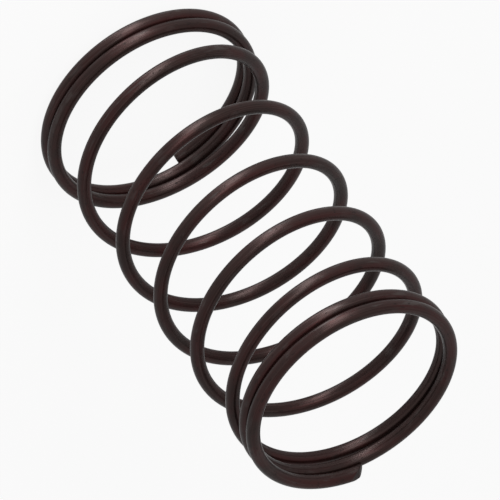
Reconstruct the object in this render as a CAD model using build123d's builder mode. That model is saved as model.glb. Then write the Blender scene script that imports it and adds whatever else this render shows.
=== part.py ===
from build123d import *
from math import cos, pi, radians, sin, sqrt
import os

# A compression spring of round wire, wound right-handed, with closed ends that aren't ground.
# It stands on its first coil: the origin is the middle of its foot, and +Z runs up its axis.

# Sizes that are set, in millimetres
wire_diameter = 1.2
outside_diameter = 20.0
free_length = 40.0
closed_coil_gap = 0.03
tip_edge_round = 0.12

# The closed coils at the foot are wound a little wider than the others, by this much on the diameter
foot_coils_wider = 0.22

# The winding, counted in turns of the wire from the lower tip to the upper one
coils_in_all = 8.96
closed_coils_below = 1.87
closed_coils_above = 1.75
opening_turn_below = 0.3
closing_turn_above = 0.55

# The open coils stand a little wider apart near the foot: how much their pitch changes, as a share of it
pitch_taper = 0.2

# Where the lower tip lies, in degrees about +Z from +X
lower_tip_angle = 85.7

# The lower tip is cut square, and the cut of the upper one leans by this many degrees
upper_tip_lean_angle = 45.0

# The centreline is a smooth chain of arcs, two to each stretch
stretches_per_coil = 8
slices_per_stretch = 8

# Sizes that follow from these
wire_radius = wire_diameter / 2
coil_radius = outside_diameter / 2 - wire_radius
closed_pitch = wire_diameter + closed_coil_gap
open_from = closed_coils_below
open_until = coils_in_all - closed_coils_above
stretches = round(coils_in_all * stretches_per_coil)
slices = stretches * slices_per_stretch
slice_turn = coils_in_all / slices


def ease(share):
    """A smooth step from 0 to 1."""
    held = min(max(share, 0), 1)
    return held * held * (3 - 2 * held)


def opening(turn):
    """0 in the closed coils at the foot, 1 above them."""
    return ease((turn - open_from) / opening_turn_below)


def openness(turn):
    """0 in the closed end coils, 1 where the coils stand fully open."""
    closing = ease((open_until - turn) / closing_turn_above)
    return min(opening(turn), closing)


def taper(turn):
    """The open pitch here against the middle one."""
    along = (turn - open_from) / (open_until - open_from)
    return 1 + pitch_taper * (1 / 2 - along)


# The open pitch is the one that brings all the coils together to the free length
middles = [(number + 1 / 2) * slice_turn for number in range(slices)]
closed_rise = sum(closed_pitch * (1 - openness(turn)) for turn in middles) * slice_turn
open_turns = sum(taper(turn) * openness(turn) for turn in middles) * slice_turn
open_pitch = (free_length - wire_diameter - closed_rise) / open_turns


def rise_per_turn(turn):
    """The pitch of the wire here."""
    share = openness(turn)
    return closed_pitch * (1 - share) + open_pitch * taper(turn) * share


def radius_at(turn):
    """The radius of the centreline here."""
    return coil_radius + foot_coils_wider / 2 * (1 - opening(turn))


# The height of the centreline at the end of each slice
heights = [wire_radius]
for middle in middles:
    heights.append(heights[-1] + rise_per_turn(middle) * slice_turn)


def wire_at(slice_number):
    """The centreline's point and direction at the end of a slice."""
    turn = slice_number * slice_turn
    angle = radians(lower_tip_angle) + 2 * pi * turn
    out = Vector(cos(angle), sin(angle))
    around = Vector(-out.Y, out.X)
    point = out * radius_at(turn) + Vector(0, 0, heights[slice_number])
    widening = (radius_at(turn + slice_turn) - radius_at(turn - slice_turn)) / (2 * slice_turn)
    way = around * (2 * pi * radius_at(turn)) + out * widening + Vector(0, 0, rise_per_turn(turn))
    return point, way.normalized()


def arc_pair(start, start_way, end, end_way):
    """Two arcs that join smoothly and keep the wire's direction at both ends of a stretch."""
    chord = end - start
    ways = start_way + end_way
    bend = 1 - start_way.dot(end_way)
    along = chord.dot(ways)
    reach = (sqrt(along**2 + 2 * bend * chord.dot(chord)) - along) / (2 * bend)
    meeting = (start + end + (start_way - end_way) * reach) / 2
    first = TangentArc(start, meeting, tangent=start_way)
    TangentArc(meeting, end, tangent=first % 1)


# The spring is one length of wire: a circle swept along the coiled centreline
with BuildPart() as spring:
    lower_end, lower_way = wire_at(0)
    upper_end, upper_way = wire_at(slices)
    with BuildLine():
        for number in range(0, slices, slices_per_stretch):
            arc_pair(*wire_at(number), *wire_at(number + slices_per_stretch))
    with BuildSketch(Plane(origin=lower_end, z_dir=lower_way)):
        Circle(wire_radius)
    sweep(is_frenet=True)

    # The upper tip is cut off at a lean, by a block that rises away from the coil the tip lies on
    across = Vector(0, 0, 1).cross(upper_way).normalized()
    away = upper_way.cross(across)
    heel = upper_end - away * (wire_radius + closed_coil_gap / 2)
    lean = radians(upper_tip_lean_angle)
    with Locations(Plane(origin=heel, x_dir=across, z_dir=upper_way * cos(lean) + away * sin(lean))):
        Box(2 * wire_diameter, 2 * wire_diameter, 2 * wire_diameter,
            align=(Align.CENTER, Align.MIN, Align.MIN), mode=Mode.SUBTRACT)

    # The edges of the cuts are rounded
    tips = spring.faces().filter_by(GeomType.PLANE)
    fillet(tips.edges(), tip_edge_round)

spring.part.label = "spring"

os.makedirs("parts", exist_ok=True)
export_step(spring.part, "parts/spring.step")
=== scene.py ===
from math import cos, pi, radians, sin, tan

import bmesh
import bpy
from mathutils import Matrix, Vector


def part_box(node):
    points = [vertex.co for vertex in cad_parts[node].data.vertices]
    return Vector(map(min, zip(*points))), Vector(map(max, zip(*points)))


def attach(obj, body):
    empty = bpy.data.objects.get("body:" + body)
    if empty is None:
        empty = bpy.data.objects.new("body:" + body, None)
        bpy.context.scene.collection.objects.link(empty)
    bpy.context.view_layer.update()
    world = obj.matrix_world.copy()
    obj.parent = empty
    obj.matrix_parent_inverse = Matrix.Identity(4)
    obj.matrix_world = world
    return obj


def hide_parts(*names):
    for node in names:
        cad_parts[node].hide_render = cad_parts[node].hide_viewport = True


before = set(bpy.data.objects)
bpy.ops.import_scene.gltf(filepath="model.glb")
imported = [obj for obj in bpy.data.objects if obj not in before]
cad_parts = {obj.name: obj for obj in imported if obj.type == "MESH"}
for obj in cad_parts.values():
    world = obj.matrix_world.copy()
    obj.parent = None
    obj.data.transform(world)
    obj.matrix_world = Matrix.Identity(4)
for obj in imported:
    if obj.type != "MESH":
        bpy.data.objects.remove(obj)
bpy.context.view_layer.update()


# The wire
# The whole spring is one length of round spring steel wire, drawn through a die and coiled right-handed. It
# is cut off with a shear, and the oil and the heat of its hardening blacken it.

# The coils at both ends are closed, and those of the foot are a little wider than the others. The open coils
# stand a little wider apart near the foot. The coiling machine opens and closes the pitch smoothly
wire_radius = 0.6e-3
closed_coil_gap = 0.03e-3
foot_coils_wider = 0.22e-3
coils_in_all = 8.96
closed_coils_below = 1.87
closed_coils_above = 1.75
opening_turn_below = 0.3
closing_turn_above = 0.55
pitch_taper = 0.2
lower_tip_angle = radians(85.7)
steps_per_coil = 240

spring_low, spring_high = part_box("spring")
coil_radius = (spring_high.x - spring_low.x - foot_coils_wider) / 2 - wire_radius
# The free length is a whole number of millimetres. The spring stands a hair shorter, because the cut of its
# upper tip leans
free_length = round(spring_high.z - spring_low.z, 3)
closed_pitch = 2 * wire_radius + closed_coil_gap
open_from = closed_coils_below
open_until = coils_in_all - closed_coils_above
steps = round(coils_in_all * steps_per_coil)
step_turn = coils_in_all / steps


def ease(share):
    """A smooth step from 0 to 1."""
    held = min(max(share, 0), 1)
    return held * held * (3 - 2 * held)


def opening(turn):
    """0 in the closed coils at the foot, 1 above them."""
    return ease((turn - open_from) / opening_turn_below)


def openness(turn):
    """0 in the closed end coils, 1 where the coils stand fully open."""
    closing = ease((open_until - turn) / closing_turn_above)
    return min(opening(turn), closing)


def taper(turn):
    """The open pitch here against the middle one."""
    along = (turn - open_from) / (open_until - open_from)
    return 1 + pitch_taper * (1 / 2 - along)


# The open pitch is the one that brings all the coils together to the free length
middles = [(number + 1 / 2) * step_turn for number in range(steps)]
closed_rise = sum(closed_pitch * (1 - openness(turn)) for turn in middles) * step_turn
open_turns = sum(taper(turn) * openness(turn) for turn in middles) * step_turn
open_pitch = (free_length - 2 * wire_radius - closed_rise) / open_turns


def rise_per_turn(turn):
    """The pitch of the wire here."""
    share = openness(turn)
    return closed_pitch * (1 - share) + open_pitch * taper(turn) * share


coil_line = []
height = wire_radius
for number in range(steps + 1):
    turn = number * step_turn
    angle = lower_tip_angle + 2 * pi * turn
    radius = coil_radius + foot_coils_wider / 2 * (1 - opening(turn))
    coil_line.append(Vector((radius * cos(angle), radius * sin(angle), height)))
    height += rise_per_turn(turn + step_turn / 2) * step_turn
wire_length = sum((after - before).length for before, after in zip(coil_line, coil_line[1:]))

# The wire is shaped straight, along +X from its lower end, and then coiled. Its lower end is cut square. The
# shear left a leaning face on the upper one, and pressed its outer corner down
wire_sides = 40
upper_tip_longer = 0.3e-3
upper_tip_lean = radians(38)
pressed_corner_lean = radians(64)
pressed_corner_side = 2
tip_round = 0.12e-3
tip_round_steps = 4
cut_tolerance = 1e-7
on_a_cut = wire_radius / 100
straight_enough = 0.9
sharpest_smooth_edge = radians(50)
# One round makes 100 cuts at most. These three leave 10 x 12 x 12 short faces in place of each long one
cuts_along = (9, 11, 11)

bpy.ops.object.select_all(action="DESELECT")
uncut_length = wire_length + upper_tip_longer
bpy.ops.mesh.primitive_cylinder_add(vertices=wire_sides, radius=wire_radius, depth=uncut_length,
                                    location=(uncut_length / 2, 0, 0), rotation=(0, pi / 2, 0))
wire = bpy.context.object
wire.name = "wire"
bpy.ops.object.transform_apply(location=True, rotation=True, scale=True)

# A point in each cut's plane, and the way the cut faces. The upper tip is longest where it lies on the next
# coil. Its two faces meet at corners of the round wire, so that they split none of its long faces
heel = Vector((uncut_length, 0, -wire_radius - closed_coil_gap / 2))
ridge_height = wire_radius * sin(2 * pi * pressed_corner_side / wire_sides)
ridge = Vector((heel.x - (ridge_height - heel.z) * tan(upper_tip_lean), 0, ridge_height))
upper_cuts = [(heel, Vector((cos(upper_tip_lean), 0, sin(upper_tip_lean)))),
              (ridge, Vector((cos(pressed_corner_lean), 0, sin(pressed_corner_lean))))]
all_cuts = [(Vector((0, 0, 0)), Vector((-1, 0, 0)))] + upper_cuts


def choose_edges(test):
    """Selects the edges of the piece being edited whose two ends pass a test, and no others."""
    shape = bmesh.from_edit_mesh(bpy.context.object.data)
    bpy.ops.mesh.select_all(action="DESELECT")
    bpy.ops.mesh.select_mode(type="EDGE")
    for edge in shape.edges:
        first, second = (corner.co for corner in edge.verts)
        edge.select_set(test(first, second))
    bmesh.update_edit_mesh(bpy.context.object.data)


def runs_along(first, second):
    """True for an edge that runs along the wire."""
    return abs(second.x - first.x) > (second - first).length * straight_enough


def rims_a_cut(first, second):
    """True for an edge of one of the wire's cut faces."""
    return any(max(abs((end - point).dot(cut_way)) for end in (first, second)) < on_a_cut
               for point, cut_way in all_cuts)


bpy.ops.object.mode_set(mode="EDIT")
for point, cut_way in upper_cuts:
    bpy.ops.mesh.select_all(action="SELECT")
    bpy.ops.mesh.bisect(plane_co=point, plane_no=cut_way, use_fill=True, clear_outer=True,
                        threshold=cut_tolerance)
for cuts in cuts_along:
    choose_edges(runs_along)
    bpy.ops.mesh.subdivide(number_cuts=cuts)
choose_edges(rims_a_cut)
bpy.ops.mesh.bevel(offset=tip_round, segments=tip_round_steps, affect="EDGES")
bpy.ops.object.mode_set(mode="OBJECT")

# Each point keeps where it was on the straight wire, for the marks that run along it
straight = wire.data.attributes.new("straight_wire", "FLOAT_VECTOR", "POINT")
straight.data.foreach_set("vector", [number for corner in wire.data.vertices for number in corner.co])

line = bpy.data.curves.new("coil_line", "CURVE")
line.dimensions = "3D"
line.twist_mode = "Z_UP"
run = line.splines.new("POLY")
run.points.add(len(coil_line) - 1)
for point, place in zip(run.points, coil_line):
    point.co = (*place, 1)
mandrel = bpy.data.objects.new("coil_line", line)
bpy.context.scene.collection.objects.link(mandrel)
coiling = wire.modifiers.new("coiling", "CURVE")
coiling.object = mandrel
coiling.deform_axis = "POS_X"
bpy.ops.object.modifier_apply(modifier=coiling.name)
bpy.data.objects.remove(mandrel)
bpy.ops.object.shade_smooth_by_angle(angle=sharpest_smooth_edge)

# The finish is a thin, mottled brown-black oxide with fine lines along it from the die. Coiling has rubbed
# the wire's outer and inner sides a little smoother
dark_oxide = (0.0195, 0.0104, 0.0092, 1)
red_oxide = (0.0345, 0.0106, 0.0099, 1)
rubbed_oxide = (0.0285, 0.0172, 0.0162, 1)
line_brown = (0.041, 0.0235, 0.0215, 1)
worn_steel = (0.052, 0.042, 0.040, 1)
pit_black = (0.011, 0.0065, 0.006, 1)
cut_steel = (0.021, 0.013, 0.012, 1)
plain_roughness = 0.23
deepest_mark = 0.004e-3
mark_strength = 0.8
# The oxide is thin, so half of the surface answers the light as metal does, and the rest as dull oxide
metal_share = 0.5
oxide_glint = (0.35, 0.35, 0.35, 1)


class Value:
    """One output of a node, so that sums on it can be written as plain expressions."""

    def __init__(self, finish, output):
        self.finish = finish
        self.output = output

    def work(self, operation, first, second):
        return self.finish.node("ShaderNodeMath", {"operation": operation}, {0: first, 1: second})

    def __add__(self, other):
        return self.work("ADD", self, other)

    def __radd__(self, other):
        return self.work("ADD", other, self)

    def __sub__(self, other):
        return self.work("SUBTRACT", self, other)

    def __rsub__(self, other):
        return self.work("SUBTRACT", other, self)

    def __mul__(self, other):
        return self.work("MULTIPLY", self, other)

    def __rmul__(self, other):
        return self.work("MULTIPLY", other, self)


class Finish:
    """The nodes of one material, or of the room's light, put together one by one."""

    def __init__(self, owner):
        owner.use_nodes = True
        self.tree = owner.node_tree
        self.tree.nodes.clear()

    def node(self, kind, settings, sockets, output=0):
        """Adds a node, makes its settings, then gives its sockets their values or links."""
        made = self.tree.nodes.new(kind)
        for name, setting in settings.items():
            setattr(made, name, setting)
        for name, value in sockets.items():
            if isinstance(value, Value):
                self.tree.links.new(value.output, made.inputs[name])
            else:
                made.inputs[name].default_value = value
        if len(made.outputs) == 0:
            return None
        return Value(self, made.outputs[output])

    def step(self, value, low, high):
        """0 below low, 1 above high, and a smooth rise between them."""
        return self.node("ShaderNodeMapRange", {"interpolation_type": "SMOOTHSTEP"},
                         {"Value": value, "From Min": low, "From Max": high})

    def mix(self, share, first, second):
        """A colour between two others, by the colour sockets of the Mix node: 6 and 7 in, 2 out."""
        return self.node("ShaderNodeMix", {"data_type": "RGBA"}, {0: share, 6: first, 7: second}, 2)

    def noise(self, place, stretch, detail):
        """Soft noise whose patches are 1 / stretch metres in size along each axis."""
        drawn = self.node("ShaderNodeVectorMath", {"operation": "MULTIPLY"}, {0: place, 1: stretch})
        return self.node("ShaderNodeTexNoise", {}, {"Vector": drawn, "Scale": 1.0, "Detail": detail}, "Fac")


blackened = bpy.data.materials.new("blackened_spring_steel")
steel = Finish(blackened)
place = steel.node("ShaderNodeAttribute", {"attribute_name": "straight_wire"}, {}, "Vector")
die_lines = steel.noise(place, stretch=(60, 9000, 9000), detail=3.0)
clouds = steel.noise(place, stretch=(70, 250, 250), detail=2.0)
patches = steel.noise(place, stretch=(350, 800, 800), detail=4.0)
grain = steel.noise(place, stretch=(9000, 12000, 12000), detail=2.0)
pits = 1 - steel.step(steel.noise(place, stretch=(2500, 5000, 5000), detail=3.0), low=0.30, high=0.40)
spots = steel.step(steel.noise(place, stretch=(500, 2200, 2200), detail=5.0), low=0.56, high=0.68)

# The sides that face outward and inward in the coil are the wire's -Y and +Y ones
sideways = steel.node("ShaderNodeSeparateXYZ", {}, {0: place}, "Y") * (1 / wire_radius)
rubbed_side = steel.step(sideways * sideways, low=0.35, high=0.95)
rubbed = rubbed_side * steel.step(0.5 * die_lines + 0.5 * clouds, low=0.36, high=0.54)

# The cut faces lie nearer the wire's middle than its drawn surface does
round_wire = steel.node("ShaderNodeVectorMath", {"operation": "MULTIPLY"}, {0: place, 1: (0, 1, 1)})
from_middle = steel.node("ShaderNodeVectorMath", {"operation": "LENGTH"}, {0: round_wire}, "Value")
cut = 1 - steel.step(from_middle, low=0.90 * wire_radius, high=0.985 * wire_radius)

redness = steel.step(0.55 * patches + 0.45 * clouds, low=0.40, high=0.60)
colour = steel.mix(redness, dark_oxide, red_oxide)
colour = steel.mix(0.8 * rubbed, colour, rubbed_oxide)
colour = steel.mix(0.6 * steel.step(die_lines, low=0.50, high=0.66), colour, line_brown)
colour = steel.mix(spots * (0.25 + 0.5 * rubbed), colour, worn_steel)
colour = steel.mix(0.7 * pits, colour, pit_black)
colour = steel.mix(cut, colour, cut_steel)
roughness = plain_roughness + 0.06 * patches + 0.06 * die_lines + 0.15 * pits - 0.03 * spots + 0.25 * cut
relief = 0.7 * die_lines + grain * (0.3 + cut) - 0.6 * pits
bump = steel.node("ShaderNodeBump", {}, {
    "Strength": mark_strength, "Distance": deepest_mark, "Height": relief})
shader = steel.node("ShaderNodeBsdfPrincipled", {}, {
    "Base Color": colour, "Metallic": metal_share, "Roughness": roughness, "Normal": bump,
    "Specular Tint": oxide_glint})
steel.node("ShaderNodeOutputMaterial", {}, {"Surface": shader})
wire.data.materials.append(blackened)

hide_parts("spring")
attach(wire, "root")


# The floor
# A plain white sheet that the spring stands on. It takes the spring's shadow, and it lets the light pass,
# because the photographed spring lay on its side and was lit from below its foot too.

floor_size = 4.0
floor_glow = 0.9
paper_white = (0.92, 0.92, 0.92, 1)
full_white = (1, 1, 1, 1)

bpy.ops.object.select_all(action="DESELECT")
bpy.ops.mesh.primitive_plane_add(size=floor_size, location=(0, 0, 0))
floor = bpy.context.object
floor.name = "floor"
white_sheet = bpy.data.materials.new("white_sheet")
sheet = Finish(white_sheet)


def seen(finish):
    """1 for a ray that shows its surface: straight to the camera, in a reflection or through glass."""
    rays = [finish.node("ShaderNodeLightPath", {}, {}, name) for name in
            ("Is Camera Ray", "Is Glossy Ray", "Is Transmission Ray")]
    return rays[0] + rays[1] + rays[2]


paper = sheet.node("ShaderNodeBsdfDiffuse", {}, {"Color": paper_white})
glow = sheet.node("ShaderNodeEmission", {}, {"Color": full_white, "Strength": 1.0})
surface = sheet.node("ShaderNodeMixShader", {}, {0: seen(sheet) * floor_glow, 1: paper, 2: glow})
sheet.node("ShaderNodeOutputMaterial", {}, {"Surface": surface})
floor.data.materials.append(white_sheet)
floor.visible_glossy = False
floor.visible_shadow = False
floor.visible_diffuse = False


# The light
# A pale room all round, which shows as pale as the floor, and an upright soft panel at the spring's front
# left, bent round it in three parts, with the middle one the brightest.

spring_middle = (spring_low + spring_high) / 2
room_light = 0.45
room_glow = 0.955
# Azimuths are counted about +Z from +X, and each part of the panel has its elevation and its brightness
panel_azimuth = radians(244)
panel_distance = 0.25
panel_width = 0.075
panel_height = 0.20
panel_parts = (("lower_panel", -48, 4.8), ("middle_panel", -8, 9.0), ("upper_panel", 32, 4.7))

room = bpy.data.worlds.new("pale_room")
walls = Finish(room)
strength = room_light + seen(walls) * (room_glow - room_light)
background = walls.node("ShaderNodeBackground", {}, {"Color": full_white, "Strength": strength})
walls.node("ShaderNodeOutputWorld", {}, {"Surface": background})
bpy.context.scene.world = room

for name, elevation, brightness in panel_parts:
    up = radians(elevation)
    away = Vector((cos(panel_azimuth) * cos(up), sin(panel_azimuth) * cos(up), sin(up)))
    bpy.ops.object.select_all(action="DESELECT")
    bpy.ops.object.light_add(type="AREA", location=spring_middle + away * panel_distance)
    panel = bpy.context.object
    panel.name = name
    panel.rotation_euler = away.to_track_quat("Z", "Y").to_euler()
    panel.data.shape = "RECTANGLE"
    panel.data.size = panel_width
    panel.data.size_y = panel_height
    panel.data.energy = brightness * pi * panel_width * panel_height
    panel.visible_camera = False


# The camera
# It looks down on the spring from the front and is rolled, as the photograph was taken. The picture is
# square, and the spring's middle lies at one given pixel of it, counted from its upper left corner.

camera_elevation = radians(37.394)
camera_roll = radians(144.666)
camera_distance = 0.930
camera_reach = 20
sensor_width = 36
picture_width = 500
middle_pixel = (247.95, 246.18)
pixels_per_metre = 11903

turned = Matrix.Rotation(pi / 2 - camera_elevation, 4, "X") @ Matrix.Rotation(camera_roll, 4, "Z")
to_right, to_top, to_back = (turned.to_3x3().col[axis] for axis in range(3))
aim = (spring_middle + to_right * (picture_width / 2 - middle_pixel[0]) / pixels_per_metre
       - to_top * (picture_width / 2 - middle_pixel[1]) / pixels_per_metre)

bpy.ops.object.select_all(action="DESELECT")
bpy.ops.object.camera_add(location=aim + to_back * camera_distance, rotation=turned.to_euler())
camera = bpy.context.object
camera.data.sensor_width = sensor_width
camera.data.lens = sensor_width * camera_distance * pixels_per_metre / picture_width
camera.data.clip_end = camera_reach
bpy.context.scene.camera = camera
bpy.context.scene.view_settings.view_transform = "Standard"
